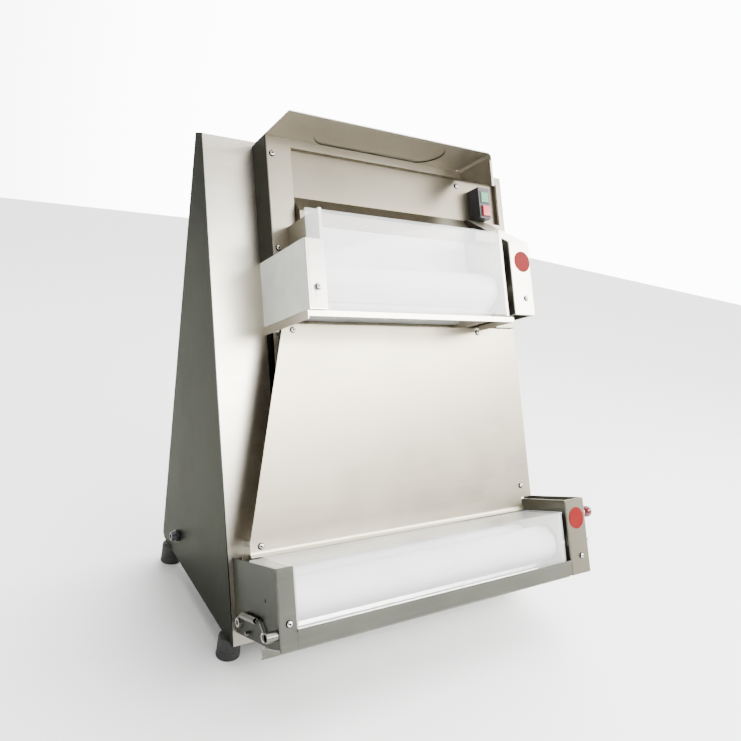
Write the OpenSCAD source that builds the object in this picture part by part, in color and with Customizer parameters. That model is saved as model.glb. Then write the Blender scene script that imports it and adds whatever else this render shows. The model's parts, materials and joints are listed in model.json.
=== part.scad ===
// Two-stage dough sheeter. Millimetres. X runs along the rollers, the front faces -Y.
// The front face leans back. What sits on it is drawn in (across, out, down) coordinates:
// x along the rollers, o outward from the front sheet, s down the slope from its top edge.

/* [Body] */
// Width of the body over its side panels
body_w = 590; // [560:5:640]
// Height of the side panels
panel_h = 702; // [690:2:760]
// Depth of the body at its top
top_depth = 25; // [20:1:60]
// Lean of the front face from upright, degrees
slope_angle = 24; // [22:0.5:26]
// Thickness of the side panels
panel_t = 2; // [1.5:0.5:3]
// Thickness of the folded sheets
sheet_t = 1.5; // [1:0.5:2]
// Height of the rubber feet
foot_h = 35; // [25:1:50]
// Diameter of the rubber feet at the floor
foot_d = 36; // [28:1:44]
// Distance from a panel corner to the foot axis, front to back
foot_inset = 30; // [26:1:60]
// Distance from a side of the body to the foot axis
foot_side = 8.5; // [8.5:0.5:30]
// Size of the corner cut at the bottom of the back edge
corner_cut = 8; // [4:1:14]
// Diameter of the power cable
cable_d = 8; // [6:0.5:10]

/* [Head] */
// Distance from the left side of the body to the head
head_x = 84; // [76:1:96]
// How far the head stands out from the front sheet
head_depth = 48; // [44:1:52]
// Bottom of the head, down the slope
head_bottom = 302; // [300:1:306]
// Width of the fascia left of the recess
fascia_margin = 43; // [36:1:50]
// Depth of the recess behind the fascia
recess_depth = 8; // [6:1:10]
// Bottom fold of the recess, down the slope
recess_bottom = 99; // [92:1:102]
// Width of the canopy
canopy_w = 397; // [380:1:400]
// How far the canopy reaches out from the front sheet
canopy_reach = 132; // [110:1:150]
// Length of the pressed oblong in the canopy
oblong_l = 250; // [180:5:280]
// Width of the pressed oblong in the canopy
oblong_w = 80; // [50:2:90]
// Height of the pressed oblong
oblong_h = 1.5; // [1:0.5:3]

/* [Rollers] */
// Diameter of the dough rollers
roller_d = 60; // [58:1:61]
// Diameter of the roller shafts
shaft_d = 20; // [16:1:22]
// Distance from the front sheet to the rear roller axes
rear_axis_o = 38; // [37:0.5:39]
// Smallest gap between two rollers
gap_min = 0.6; // [0.5:0.1:1]
// How much an adjuster opens the gap
gap_travel = 4.4; // [3:0.1:4.6]
// Upper roller axes, down the slope
upper_s = 250; // [248:1:252]
// Length of the upper rollers
upper_roller_l = 344; // [300:2:350]
// Lower roller axes, down the slope
lower_s = 695; // [693:1:697]
// Left end of the lower rollers
lower_roller_x = 42; // [42:1:50]
// Length of the lower rollers
lower_roller_l = 502; // [440:2:506]
// Radial clearance of a running fit
running_fit = 0.05; // [0.02:0.01:0.1]

/* [Gears and belts] */
// Teeth on each roller gear
gear_teeth = 16; // [16:1:16]
// Width of a roller gear
gear_w = 11; // [8:0.5:12]
// Radius of the roller pulleys
roller_pulley_r = 24; // [22:1:26]
// Radius of the drive pulleys
drive_pulley_r = 20; // [16:1:24]
// Thickness of the belts
belt_t = 3; // [2:0.5:3]
// Width of the belts
belt_w = 8; // [6:0.5:9]
// Gap between a belt and its pulleys
belt_gap = 0.3; // [0.2:0.1:0.5]
// Drive shaft axis, down the slope
drive_s = 640; // [634:1:646]
// Drive shaft axis behind the front sheet
drive_depth = 100; // [94:1:106]

/* [Guards and end boxes] */
// How far the end boxes stand out from the front sheet
front_o = 147; // [144:1:150]
// Thickness of the clear guards
guard_t = 2.5; // [2:0.5:3]
// Top edge of the upper guard, down the slope
upper_guard_s = 157; // [150:1:166]
// Top edge of the end plates of the lower unit, down the slope
lower_unit_s = 643; // [640:1:646]
// Height of the lower end plates along the slope
lower_unit_h = 106; // [104:1:112]
// How far the lower unit stands out from the front sheet
lower_front_o = 143; // [142:0.5:145]
// Width of the flanges at the left ends
flange_w = 26; // [24:1:27]
// Width of the upper right-hand end box
upper_box_w = 49; // [44:1:54]
// Width of the lower right-hand end box
lower_box_w = 48; // [44:1:54]
// Diameter of the plain red discs on the end boxes
disc_d = 37; // [24:1:40]

/* [Chute] */
// How far the chute stands out from the front sheet
chute_o = 50; // [49:0.5:52]
// Top edge of the chute, down the slope
chute_s = 305; // [304:1:312]
// Right edge of the chute
chute_right = 577; // [560:1:580]
// How far the chute's left edge steps out towards the bottom
chute_flare = 74; // [50:1:76]
// Height of the flat part of the chute along the slope
chute_h = 313; // [306:1:314]

/* [Adjusters] */
// Distance from an adjuster's pivot to its ball knob
lever_r = 45; // [38:1:50]
// Diameter of the ball knobs
knob_d = 21; // [18:1:25]
// Distance from the front sheet to the adjuster pivots
pivot_o = 128; // [127:0.5:129]
// Turn of an adjuster over its whole range, degrees
lever_turn = 90; // [80:5:90]
// Turn of the upper adjuster as drawn, degrees back from upright
upper_lever_rest = 60; // [45:5:75]
// Angle between two index holes, degrees
index_step = 15; // [10:5:20]

/* [Hidden] */
$fn = 64;
screw_d = 5;
screw_head_d = 10;
screw_head_h = 3;
hole_clear = 0.4;
base_z = foot_h;
top_z = base_z + panel_h;
front_y = -panel_h * tan(slope_angle);
slope_l = panel_h / cos(slope_angle);
inner_x = panel_t;
inner_w = body_w - 2 * panel_t;
head_right = body_w - 6;
head_top = 8;
recess_top = 22;
recess_right = head_right - 14;
recess_o = head_depth - sheet_t - recess_depth;
// end boxes and plates of the upper unit
upper_cheek_s = upper_s - 50;
upper_plate_l_x = head_x + 29;
upper_plate_t = 5;
upper_roller_x = upper_plate_l_x + upper_plate_t + 2;
upper_plate_r_x = upper_roller_x + upper_roller_l + 4;
upper_box_x = upper_plate_r_x + 17;
upper_box_right = upper_box_x + upper_box_w;
upper_box_s = upper_s - 80;
// end plates of the lower unit
lower_x = 8;
lower_plate_l_x = lower_roller_x - 8;
lower_plate_t = 5;
lower_plate_r_x = lower_roller_x + lower_roller_l + 3;
lower_box_x = lower_plate_r_x + 15;
lower_box_right = lower_box_x + lower_box_w;
lower_box_s = lower_unit_s - 21;
lower_bottom_s = lower_unit_s + lower_unit_h;
lip_s = lower_bottom_s - 25;
// rollers, gears and adjusters
front_axis_o = rear_axis_o + roller_d + gap_min;
cam_rate = gap_travel / lever_turn;
upper_open = cam_rate * upper_lever_rest;
upper_front_o = front_axis_o + upper_open;
tooth_m = roller_d / gear_teeth;
block_half = 16;
block_gap = 0.1;
slot_o0 = front_axis_o - block_half - 0.3;
slot_o1 = front_axis_o + gap_travel + block_half + 0.3;
cam_gap = 0.8;
cam_r = pivot_o - front_axis_o - block_half - cam_gap;
lever_shaft_d = 10;
bush_d = 28;
// belts
pulley_w = belt_w + 3;
flange_extra = belt_t + 2;
upper_pulley_x = head_x + 3.5;
lower_pulley_x = lower_x + 3.5;
drive_shaft_x = lower_pulley_x;
drive_shaft_end = 110;
// the machine's reach to each side and to the front and back, for its middle
tray_x = -17;
pin_out = 10.3;
mid_x = (tray_x + lower_box_right + pin_out + knob_d) / 2;
mid_y = (top_depth + screw_head_h + slope_point(lower_front_o, lower_bottom_s + 1)[0]) / 2;
// scraper rods, behind and in front of the fall of the dough
rod_d = 12;
rear_rod = [rear_axis_o - 23.5, 36.5];
front_rod = [front_axis_o + 2.5, 41];

// ---- frames and shapes that repeat ----

// the upright frame, with the middle of the whole machine over the origin
module upright() {
    translate([-mid_x, -mid_y, 0]) children();
}

// the leaning frame of the front sheet
module on_slope() {
    upright() translate([0, 0, top_z]) rotate([-slope_angle, 0, 0]) children();
}

// where a point of the leaning frame lies, as depth and height
function slope_point(o, s) = [
    -s * sin(slope_angle) - o * cos(slope_angle),
    top_z - s * cos(slope_angle) + o * sin(slope_angle)
];

// a box given by its limits across, out and down
module slab(x, o, s) {
    translate([x[0], -o[1], -s[1]]) cube([x[1] - x[0], o[1] - o[0], s[1] - s[0]]);
}

// a round bar along the rollers
module bar(x, l, d, o, s) {
    translate([x, -o, -s]) rotate([0, 90, 0]) cylinder(d = d, h = l);
}

// a round pin that points out of the slope
module stud(x, s, d, o0, o1) {
    translate([x, -o0, -s]) rotate([90, 0, 0]) cylinder(d = d, h = o1 - o0);
}

// a drawing of out against down, as thick as w along the rollers
module across(x, w) {
    translate([x, 0, 0]) rotate([180, 0, 0]) rotate([90, 0, 90]) linear_extrude(w) children();
}

// a drawing of across against down, standing parallel to the slope
module facing(o, t) {
    translate([0, -o - t, 0]) rotate([-90, 0, 0]) linear_extrude(t) children();
}

// a drawing of across against out, lying square to the slope
module lying(s, t) {
    translate([0, 0, -s]) rotate([180, 0, 0]) linear_extrude(t) children();
}

// a screw with its head on the surface at o
module front_screw(x, s, o, l = 8) {
    stud(x, s, screw_head_d, o, o + screw_head_h);
    stud(x, s, screw_d, o - l, o);
}

module screw_hole(x, s, o, t) {
    stud(x, s, screw_d + hole_clear, o - t - 1, o + 1);
}

side_outline = [
    [0, top_z], [top_depth, top_z], [top_depth, base_z + corner_cut],
    [top_depth - corner_cut, base_z], [front_y, base_z]
];

// a plate in the plane of the side panels
module side_plate(x, t, outline) {
    translate([x, 0, 0]) rotate([90, 0, 90]) linear_extrude(t) polygon(outline);
}

// ---- casing ----

module left_side_panel() {
    color("gray") upright() difference() {
        side_plate(0, panel_t, side_outline);
        translate([-1, gland_y, gland_z]) rotate([0, 90, 0])
            cylinder(d = gland_thread_d + hole_clear, h = panel_t + 2);
    }
}

module right_side_panel() {
    color("gray") upright() side_plate(body_w - panel_t, panel_t, side_outline);
}

// openings where the belts pass through the front sheet
belt_slots = [
    [upper_pulley_x - 0.5, [265, 452]],
    [lower_pulley_x - 0.5, [lower_unit_s + 2, 718]]
];

module body_shell() {
    color("silver") difference() {
        union() {
            on_slope() slab([inner_x, body_w - panel_t], [-sheet_t, 0], [0.5, slope_l - 1]);
            upright() {
                translate([inner_x, 0, top_z - sheet_t]) cube([inner_w, top_depth, sheet_t]);
                translate([inner_x, top_depth - 2 * sheet_t, top_z - 16]) cube([inner_w, sheet_t, 16]);
            }
        }
        on_slope() {
            for (slot = belt_slots) slab([slot[0], slot[0] + pulley_w + 1], [-6, 3], slot[1]);
            for (p = standoffs) screw_hole(p[0], p[1], 0, sheet_t);
        }
        upright() for (p = back_screws) back_hole(p, top_depth + 1);
    }
}

module base_plate() {
    color("silver") upright() difference() {
        translate([inner_x, front_y + 4, base_z])
            cube([inner_w, top_depth - sheet_t - front_y - 4 - corner_cut, 2]);
        for (p = foot_places) translate([p[0], p[1], base_z - 1])
            cylinder(d = 6 + hole_clear, h = 4);
    }
}

back_screws = [for (x = [20, body_w - 20], z = [base_z + 24, (base_z + top_z) / 2, top_z - 9]) [x, z]];

module back_hole(p, y) {
    translate([p[0], y, p[1]]) rotate([90, 0, 0]) cylinder(d = screw_d + hole_clear, h = 6);
}

// the cover stands between the side panels, with louvres for the motor's heat
module back_cover() {
    louvre_n = 9;
    color("silver") upright() difference() {
        translate([inner_x, top_depth - sheet_t, base_z + 10])
            cube([inner_w, sheet_t, panel_h - 10 - sheet_t]);
        for (side = [0.28, 0.72], i = [0 : louvre_n - 1])
            translate([body_w * side - 50, top_depth - 5, base_z + 60 + 16 * i]) cube([100, 8, 5]);
        for (p = back_screws) back_hole(p, top_depth + 1);
    }
}

module back_cover_screws() {
    color("dimgray") upright() for (p = back_screws) translate([p[0], top_depth, p[1]]) {
        rotate([-90, 0, 0]) cylinder(d = screw_head_d, h = screw_head_h);
        rotate([90, 0, 0]) cylinder(d = screw_d, h = 6);
    }
}

foot_places = [
    for (x = [foot_side, body_w - foot_side], y = [front_y + foot_inset + 1, top_depth - foot_inset])
    [x, y]
];

module rubber_feet() {
    color("black") upright() for (p = foot_places) translate([p[0], p[1], 0]) {
        cylinder(d1 = foot_d, d2 = foot_d - 4, h = foot_h);
        cylinder(d = 6, h = foot_h + 8);
        translate([0, 0, foot_h + 2]) cylinder(d = 11.5, h = 5, $fn = 6);
    }
}

gland_y = -52;
gland_z = base_z + 40;
gland_thread_d = cable_d + 8;

module cable_gland() {
    color("black") upright() difference() {
        translate([0, gland_y, gland_z]) rotate([0, 90, 0]) {
            cylinder(d = gland_thread_d, h = 14);
            translate([0, 0, -5]) cylinder(d = gland_thread_d + 6, h = 5, $fn = 6);
            translate([0, 0, -12]) cylinder(d1 = gland_thread_d - 2, d2 = gland_thread_d + 2, h = 7);
            translate([0, 0, panel_t]) cylinder(d = gland_thread_d + 6, h = 5, $fn = 6);
        }
        translate([-14, gland_y, gland_z]) rotate([0, 90, 0]) cylinder(d = cable_d, h = 30);
    }
}

// ---- head ----

fascia_recess = [head_x + fascia_margin, recess_right];

module head_casing() {
    color("silver") difference() {
        on_slope() difference() {
            union() {
                slab([head_x, head_right], [0, head_depth], [head_top, head_bottom]);
            }
            slab([head_x + sheet_t, head_right - sheet_t], [-1, head_depth - sheet_t],
                 [head_top + sheet_t, head_bottom + 1]);
            slab(fascia_recess, [recess_o, head_depth + 1], [recess_top, recess_bottom + 4]);
            slab([fascia_recess[0], upper_box_right + 0.3], [recess_o, head_depth + 1],
                 [recess_bottom + 2, head_bottom + 1]);
            slab([head_x - 1, fascia_recess[0] + 1], [-1, head_depth + 1],
                 [upper_cheek_s - 0.3, head_bottom + 1]);
            for (p = fascia_screw_places) screw_hole(p[0], p[1], head_depth, sheet_t);
        }
    }
}

fascia_screw_places = [[head_x + 10, 37], [head_x + 10, 187]];
recess_screw_places = [[upper_plate_r_x + 8, 34]];

// the recessed plate that the dough is laid against, with the fold that leads to the rollers
module infeed_back_plate() {
    fold_o = 62;
    fold_s = 128;
    ledge_s = 150;
    t = sheet_t;
    color("silver") on_slope() difference() {
        union() {
            slab([fascia_recess[0] - 10, fascia_recess[1] + 10], [recess_o - t, recess_o],
                 [recess_top - 8, recess_bottom]);
            across(fascia_recess[0] + 1, upper_box_x - 1 - fascia_recess[0] - 1) polygon([
                [recess_o - t, recess_bottom - 1], [recess_o, recess_bottom - 1],
                [recess_o, recess_bottom], [fold_o, fold_s], [fold_o, ledge_s],
                [fold_o - t, ledge_s], [fold_o - t, fold_s + 1], [recess_o - t, recess_bottom + 1]]);
            // the fold's left end is closed by a gusset
            across(fascia_recess[0] + 1, t) polygon([
                [recess_o - t, recess_bottom], [recess_o, recess_bottom], [fold_o - 0.5, fold_s],
                [fold_o - 0.5, ledge_s], [recess_o - t, ledge_s]]);
            for (x = [fascia_recess[0], fascia_recess[1] - t])
                slab([x, x + t], [recess_o - 0.5, head_depth - t], [recess_top, recess_bottom]);
            slab(fascia_recess, [recess_o - 0.5, head_depth - t], [recess_top - t, recess_top]);
        }
        for (p = recess_screw_places) screw_hole(p[0], p[1], recess_o, t);
    }
}

module front_screws() {
    color("dimgray") on_slope() {
        for (p = fascia_screw_places) front_screw(p[0], p[1], head_depth);
        for (p = recess_screw_places) front_screw(p[0], p[1], recess_o);
        for (p = standoffs) front_screw(p[0], p[1], chute_o);
    }
}

// a plate square to the slope over the infeed, with one side folded down
module canopy() {
    t = sheet_t;
    right = head_x + canopy_w;
    bend = 8;
    mid = [head_x + canopy_w / 2 - 3, (head_depth + canopy_reach) / 2 - 5];
    color("silver") on_slope() {
        // the oblong is pressed upward out of the plate
        difference() {
            union() {
                lying(head_top - t, t) polygon([
                    [head_x, 10], [right - bend, 10], [right - bend, canopy_reach], [head_x, canopy_reach]]);
                oblong_block(mid, head_top - t - oblong_h, oblong_h, oblong_w);
            }
            oblong_block(mid, head_top - oblong_h, oblong_h + 1, oblong_w - 3);
        }
        // rounded corner between the plate and its side
        translate([right - bend, -head_depth - 0.3, -(head_top - t) - bend]) rotate([90, 0, 0])
            linear_extrude(canopy_reach - head_depth - 0.3) difference() {
                intersection() {
                    circle(r = bend);
                    square(bend + 1);
                }
                circle(r = bend - t);
            }
        across(right - t, t) polygon([
            [head_depth + 0.3, head_top - t + bend], [canopy_reach, head_top - t + bend],
            [canopy_reach, 66], [head_depth + 0.3, 26]]);
        slab([right - 5, right], [canopy_reach - t, canopy_reach], [head_top + 12, 66]);
    }
}

module oblong_block(mid, s, h, w) {
    half = (oblong_l - oblong_w) / 2;
    lying(s, h) {
        for (k = [-1, 1]) translate([mid[0] + k * half, mid[1]]) circle(d = w);
        translate([mid[0] - half, mid[1] - w / 2]) square([2 * half, w]);
    }
}

switch_x = [503, 530];
switch_s = [42, 100.5];
switch_o = 68;
button_w = 17;
button_h = 19;
button_travel = 2.5;
start_s = switch_s[0] + 19;
stop_s = switch_s[0] + 45;
switch_mid = (switch_x[0] + switch_x[1]) / 2;

module switch_body() {
    color("black") on_slope() difference() {
        union() {
            slab(switch_x, [recess_o, switch_o], switch_s);
            for (s = [start_s, stop_s]) button_block(s, 2, switch_o, switch_o + 1);
        }
        for (s = [start_s, stop_s]) button_block(s, 0.4, recess_o + 6, switch_o + 2);
    }
}

// the outline of a button, grown by margin on every side
module button_block(s, margin, o0, o1) {
    slab([switch_mid - button_w / 2 - margin, switch_mid + button_w / 2 + margin], [o0, o1],
         [s - button_h / 2 - margin, s + button_h / 2 + margin]);
}

module push_button(s, proud) {
    on_slope() {
        button_block(s, 0, switch_o - 10, switch_o + proud);
        stud(switch_mid, s, 6, switch_o - 18, switch_o - 10);
    }
}

module start_button() {
    color("green") push_button(start_s, 2);
}

module stop_button() {
    color("red") push_button(stop_s, 4.5);
}

// ---- chute between the two roller pairs ----

chute_top_x = head_x + 7;
chute_left = chute_top_x - chute_flare;
chute_bottom = chute_s + chute_h;
standoffs = [
    [chute_top_x + 16, chute_s + 9], [chute_top_x + 392, chute_s + 8],
    [chute_left + 15, chute_bottom + 8], [chute_right - 24, chute_bottom - 21]
];

module chute() {
    t = sheet_t;
    lip_r = 14;
    lip_s = chute_bottom + 14;
    lip_right = lower_plate_r_x + 5;
    color("silver") on_slope() difference() {
        union() {
            facing(chute_o - t, t) polygon([
                [chute_top_x, chute_s], [chute_right, chute_s], [chute_right, chute_bottom],
                [chute_left, chute_bottom]]);
            slab([chute_left - 1, lip_right], [chute_o - t, chute_o], [chute_bottom - 1, lip_s]);
            // the bottom edge curls forward over the lower rollers
            across(chute_left - 1, lip_right - chute_left + 1) intersection() {
                translate([chute_o - t + lip_r, lip_s]) difference() {
                    circle(r = lip_r);
                    circle(r = lip_r - t);
                }
                translate([0, lip_s]) square([chute_o + 5, 8]);
            }
        }
        for (p = standoffs) screw_hole(p[0], p[1], chute_o, t);
    }
}

module chute_standoffs() {
    color("silver") on_slope() for (p = standoffs) difference() {
        stud(p[0], p[1], 10, 0, chute_o - sheet_t);
        stud(p[0], p[1], screw_d + hole_clear, chute_o - 12, chute_o);
    }
}

// ---- drive ----

drive_o = -drive_depth;

module gear_motor() {
    color("slategray") on_slope() {
        bar(drive_shaft_end + 1, 80, 110, drive_o, drive_s);
        bar(drive_shaft_end + 80, 230, 130, drive_o, drive_s);
        for (i = [0 : 5]) bar(drive_shaft_end + 100 + 34 * i, 6, 136, drive_o, drive_s);
    }
    p = slope_point(drive_o, drive_s);
    color("slategray") upright() for (x = [drive_shaft_end + 110, drive_shaft_end + 250])
        translate([x, p[0] - 50, base_z + 2]) cube([20, 100, p[1] - base_z - 30]);
}

module shaft_support() {
    p = slope_point(drive_o, drive_s);
    color("slategray") upright() difference() {
        translate([54, p[0] - 35, base_z + 2]) cube([8, 70, p[1] - base_z + 28]);
        translate([50, p[0], p[1]]) rotate([0, 90, 0])
            cylinder(d = shaft_d + 2 * running_fit, h = 20);
    }
}

module drive_shaft() {
    color("silver") on_slope() bar(drive_shaft_x, drive_shaft_end - drive_shaft_x, shaft_d, drive_o, drive_s);
}

// a flanged pulley bored for a shaft
module pulley(x, r, o, s) {
    difference() {
        union() {
            bar(x, pulley_w, 2 * r, o, s);
            for (k = [0, pulley_w - 1]) bar(x + k, 1, 2 * r + 2 * flange_extra, o, s);
        }
        bar(x - 1, pulley_w + 2, shaft_d, o, s);
    }
}

module drive_pulleys() {
    color("dimgray") on_slope() for (x = [upper_pulley_x, lower_pulley_x])
        pulley(x, drive_pulley_r, drive_o, drive_s);
}

// the outline of a taut band around two circles: an arc on each, joined by straight runs
function wrap(a, ra, b, rb, steps = 32) =
    let (d = norm(b - a), heading = atan2(b[1] - a[1], b[0] - a[0]), reach = acos((ra - rb) / d))
    concat(
        [for (i = [0 : steps]) let (t = heading + reach + (360 - 2 * reach) * i / steps)
            a + ra * [cos(t), sin(t)]],
        [for (i = [0 : steps]) let (t = heading - reach + 2 * reach * i / steps)
            b + rb * [cos(t), sin(t)]]
    );

module belt(x, s) {
    a = [drive_o, drive_s];
    b = [rear_axis_o, s];
    across(x + (pulley_w - belt_w) / 2, belt_w) difference() {
        polygon(wrap(a, drive_pulley_r + belt_gap + belt_t, b, roller_pulley_r + belt_gap + belt_t));
        polygon(wrap(a, drive_pulley_r + belt_gap, b, roller_pulley_r + belt_gap));
    }
}

module upper_belt() {
    color("black") on_slope() belt(upper_pulley_x, upper_s);
}

module lower_belt() {
    color("black") on_slope() belt(lower_pulley_x, lower_s);
}

// ---- rollers and gears ----

module roller(x, l, o, s, shaft_x, shaft_end) {
    bar(x, l, roller_d, o, s);
    bar(shaft_x, shaft_end - shaft_x, shaft_d, o, s);
}

function involute(rb, a) = [rb * (cos(a) + a * PI / 180 * sin(a)), rb * (sin(a) - a * PI / 180 * cos(a))];
function turned(p, a) = [p[0] * cos(a) - p[1] * sin(a), p[0] * sin(a) + p[1] * cos(a)];
function roll_angle(rb, r) = r <= rb ? 0 : sqrt(pow(r / rb, 2) - 1) * 180 / PI;

// a spur gear on the pitch circle of the rollers, with long teeth that stay in mesh
module gear_2d(phase) {
    pitch_r = roller_d / 2;
    base_r = pitch_r * cos(20);
    tip_r = pitch_r + tooth_m;
    root_r = pitch_r - 1.3 * tooth_m;
    at_pitch = roll_angle(base_r, pitch_r);
    flank_at_pitch = at_pitch - atan(at_pitch * PI / 180);
    half_tooth = 90 / gear_teeth + flank_at_pitch - 0.15;
    a0 = 0;
    a1 = roll_angle(base_r, tip_r);
    steps = 6;
    flank = [for (i = [0 : steps]) turned(involute(base_r, a0 + (a1 - a0) * i / steps), -half_tooth)];
    tooth = concat([[root_r * cos(half_tooth), -root_r * sin(half_tooth)]], flank);
    mirrored = [for (i = [len(tooth) - 1 : -1 : 0]) [tooth[i][0], -tooth[i][1]]];
    polygon([for (k = [0 : gear_teeth - 1]) for (p = concat(tooth, mirrored))
        turned(p, 360 * k / gear_teeth + phase)]);
}

module roller_gear(x, o, s, phase) {
    difference() {
        across(x, gear_w) translate([o, s]) gear_2d(phase);
        bar(x - 1, gear_w + 2, shaft_d, o, s);
    }
}

half_pitch = 180 / gear_teeth;
upper_gear_x = upper_pulley_x + pulley_w;
lower_gear_x = lower_pulley_x + pulley_w;

module upper_rear_roller() {
    color("white") on_slope()
        roller(upper_roller_x, upper_roller_l, rear_axis_o, upper_s, upper_pulley_x, upper_plate_r_x + 8);
}

module upper_rear_gear() {
    color("dimgray") on_slope() {
        roller_gear(upper_gear_x, rear_axis_o, upper_s, 0);
        pulley(upper_pulley_x, roller_pulley_r, rear_axis_o, upper_s);
    }
}

module upper_front_roller() {
    color("white") on_slope() roller(upper_roller_x, upper_roller_l, upper_front_o, upper_s,
        upper_gear_x, upper_plate_r_x + 11);
}

module upper_front_gear() {
    color("dimgray") on_slope() roller_gear(upper_gear_x, upper_front_o, upper_s, half_pitch);
}

module lower_rear_roller() {
    color("white") on_slope()
        roller(lower_roller_x, lower_roller_l, rear_axis_o, lower_s, lower_pulley_x, lower_plate_r_x + 8);
}

module lower_rear_gear() {
    color("dimgray") on_slope() {
        roller_gear(lower_gear_x, rear_axis_o, lower_s, 0);
        pulley(lower_pulley_x, roller_pulley_r, rear_axis_o, lower_s);
    }
}

module lower_front_roller() {
    color("white") on_slope() roller(lower_roller_x, lower_roller_l, front_axis_o, lower_s,
        lower_gear_x, lower_plate_r_x + 11);
}

module lower_front_gear() {
    color("dimgray") on_slope() roller_gear(lower_gear_x, front_axis_o, lower_s, half_pitch);
}

// bushes for the rear rollers, pressed into the bearing plates
module roller_bushes() {
    color("goldenrod") on_slope() {
        for (b = [[upper_plate_l_x, upper_s], [upper_plate_r_x, upper_s],
                  [lower_plate_l_x, lower_s], [lower_plate_r_x, lower_s]])
            difference() {
                bar(b[0], upper_plate_t, bush_d, rear_axis_o, b[1]);
                bar(b[0] - 1, upper_plate_t + 2, shaft_d + 2 * running_fit, rear_axis_o, b[1]);
            }
    }
}

// a bearing plate: a bore for the rear bush, a slot for the front slide block, holes for rods
module bearing_plate(x, t, s_top, s_bottom, o_max, s_axis, rods) {
    difference() {
        slab([x, x + t], [0, o_max], [s_top, s_bottom]);
        bar(x - 1, t + 2, bush_d, rear_axis_o, s_axis);
        slab([x - 1, x + t + 1], [slot_o0, slot_o1],
             [s_axis - block_half - block_gap, s_axis + block_half + block_gap]);
        for (rod = rods) bar(x - 1, t + 2, rod_d, rod[0], s_axis + rod[1]);
    }
}

// blocks that carry the front roller and slide in the plates
module slide_block(x, l, o, s, keep) {
    difference() {
        union() {
            slab([x, x + l], [o - block_half, o + block_half], [s - block_half, s + block_half]);
            slab([keep, keep + 1.3], [o - block_half - 2, o + block_half + 2],
                 [s - block_half - 3, s + block_half + 3]);
        }
        bar(x - 3, l + 6, shaft_d + 2 * running_fit, o, s);
    }
}

module upper_slide_blocks() {
    color("goldenrod") on_slope() {
        slide_block(upper_plate_l_x - 0.5, upper_plate_t + 0.8, upper_front_o, upper_s,
            upper_plate_l_x + upper_plate_t + 0.2);
        slide_block(upper_plate_r_x - 0.5, 13, upper_front_o, upper_s, upper_plate_r_x - 1.5);
    }
}

module lower_slide_blocks() {
    color("goldenrod") on_slope() {
        slide_block(lower_plate_l_x, lower_plate_t + 0.3, front_axis_o, lower_s,
            lower_plate_l_x + lower_plate_t + 0.2);
        slide_block(lower_plate_r_x - 0.5, 13, front_axis_o, lower_s, lower_plate_r_x - 1.5);
    }
}

// ---- end boxes, plates, guards and scrapers ----

module upper_left_cheek() {
    t = panel_t;
    color("silver") on_slope() difference() {
        union() {
            slab([head_x, head_x + t], [0, front_o], [upper_cheek_s, head_bottom]);
            slab([head_x, head_x + flange_w + 4], [front_o - t, front_o], [upper_cheek_s, head_bottom]);
        }
        screw_hole(upper_guard_screw[0], upper_guard_screw[1], front_o, t);
    }
}

// its top is cut away where it would run into the fascia
module upper_inner_plate() {
    color("silver") on_slope() difference() {
        bearing_plate(upper_plate_l_x, upper_plate_t, 152, head_bottom - 2, front_o - 4, upper_s,
            [rear_rod, front_rod]);
        slab([upper_plate_l_x - 1, upper_plate_l_x + upper_plate_t + 1], [-1, head_depth + 0.3],
            [150, upper_cheek_s - 0.2]);
    }
}

module upper_right_plate() {
    color("silver") on_slope() bearing_plate(upper_plate_r_x, upper_plate_t, 152, head_bottom - 2,
        front_o - 4, upper_s, [rear_rod, front_rod]);
}

upper_guard_screw = [head_x + 16, upper_s + 20];

// a clear cover in front of the rollers, folded back at its right edge
module upper_guard() {
    t = guard_t;
    right = upper_plate_r_x - 1;
    color("lightcyan") on_slope() difference() {
        union() {
            slab([head_x + 4, right], [front_o, front_o + t], [upper_guard_s, head_bottom - 3]);
            slab([right - t, right], [front_o - 24, front_o + t], [upper_guard_s, head_bottom - 3]);
        }
        screw_hole(upper_guard_screw[0], upper_guard_screw[1], front_o + t, t);
    }
}

module index_holes(x, t, s, rest) {
    for (a = [0 : index_step : lever_turn]) {
        r = lever_r;
        bar(x - 1, t + 2, 6.6, pivot_o - r * sin(a), s - r * cos(a));
    }
}

// an end box: two walls and a front, with a sloping lid when closed is true
module end_box(x, w, profile, lid, s_axis, o_front) {
    t = panel_t;
    s_top = profile[0][1];
    s_bottom = profile[len(profile) - 1][1];
    difference() {
        union() {
            for (k = [x, x + w - t]) across(k, t) polygon(profile);
            slab([x, x + w], [o_front - t, o_front], [s_top, s_bottom]);
            if (lid) across(x, w) polygon([
                profile[0], profile[1], profile[2], [profile[2][0], profile[2][1] + t],
                [profile[1][0], profile[1][1] + t], [profile[0][0], profile[0][1] + t]]);
        }
        bar(x - 1, w + 2, lever_shaft_d + 2 * running_fit, pivot_o, s_axis);
        index_holes(x + w - t, t, s_axis, 0);
    }
}

upper_box_profile = [
    [front_o, upper_box_s], [head_depth + 0.5, 101], [0, 101], [0, head_bottom - 4],
    [front_o, head_bottom - 4]
];
lower_box_profile = [
    [lower_front_o, lower_box_s], [0, lower_box_s], [0, lower_bottom_s + 1],
    [lower_front_o, lower_bottom_s + 1]
];
upper_box_screw = [upper_box_right - 20, upper_s + 19];
lower_box_screw = [lower_box_right - 21, lower_s + 25];

module upper_end_box() {
    color("silver") on_slope() difference() {
        end_box(upper_box_x, upper_box_w, upper_box_profile, true, upper_s, front_o);
        screw_hole(upper_box_screw[0], upper_box_screw[1], front_o, panel_t);
    }
}

module lower_end_box() {
    color("silver") on_slope() difference() {
        end_box(lower_box_x, lower_box_w, lower_box_profile, false, lower_s, lower_front_o);
        screw_hole(lower_box_screw[0], lower_box_screw[1], lower_front_o, panel_t);
    }
}

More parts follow.
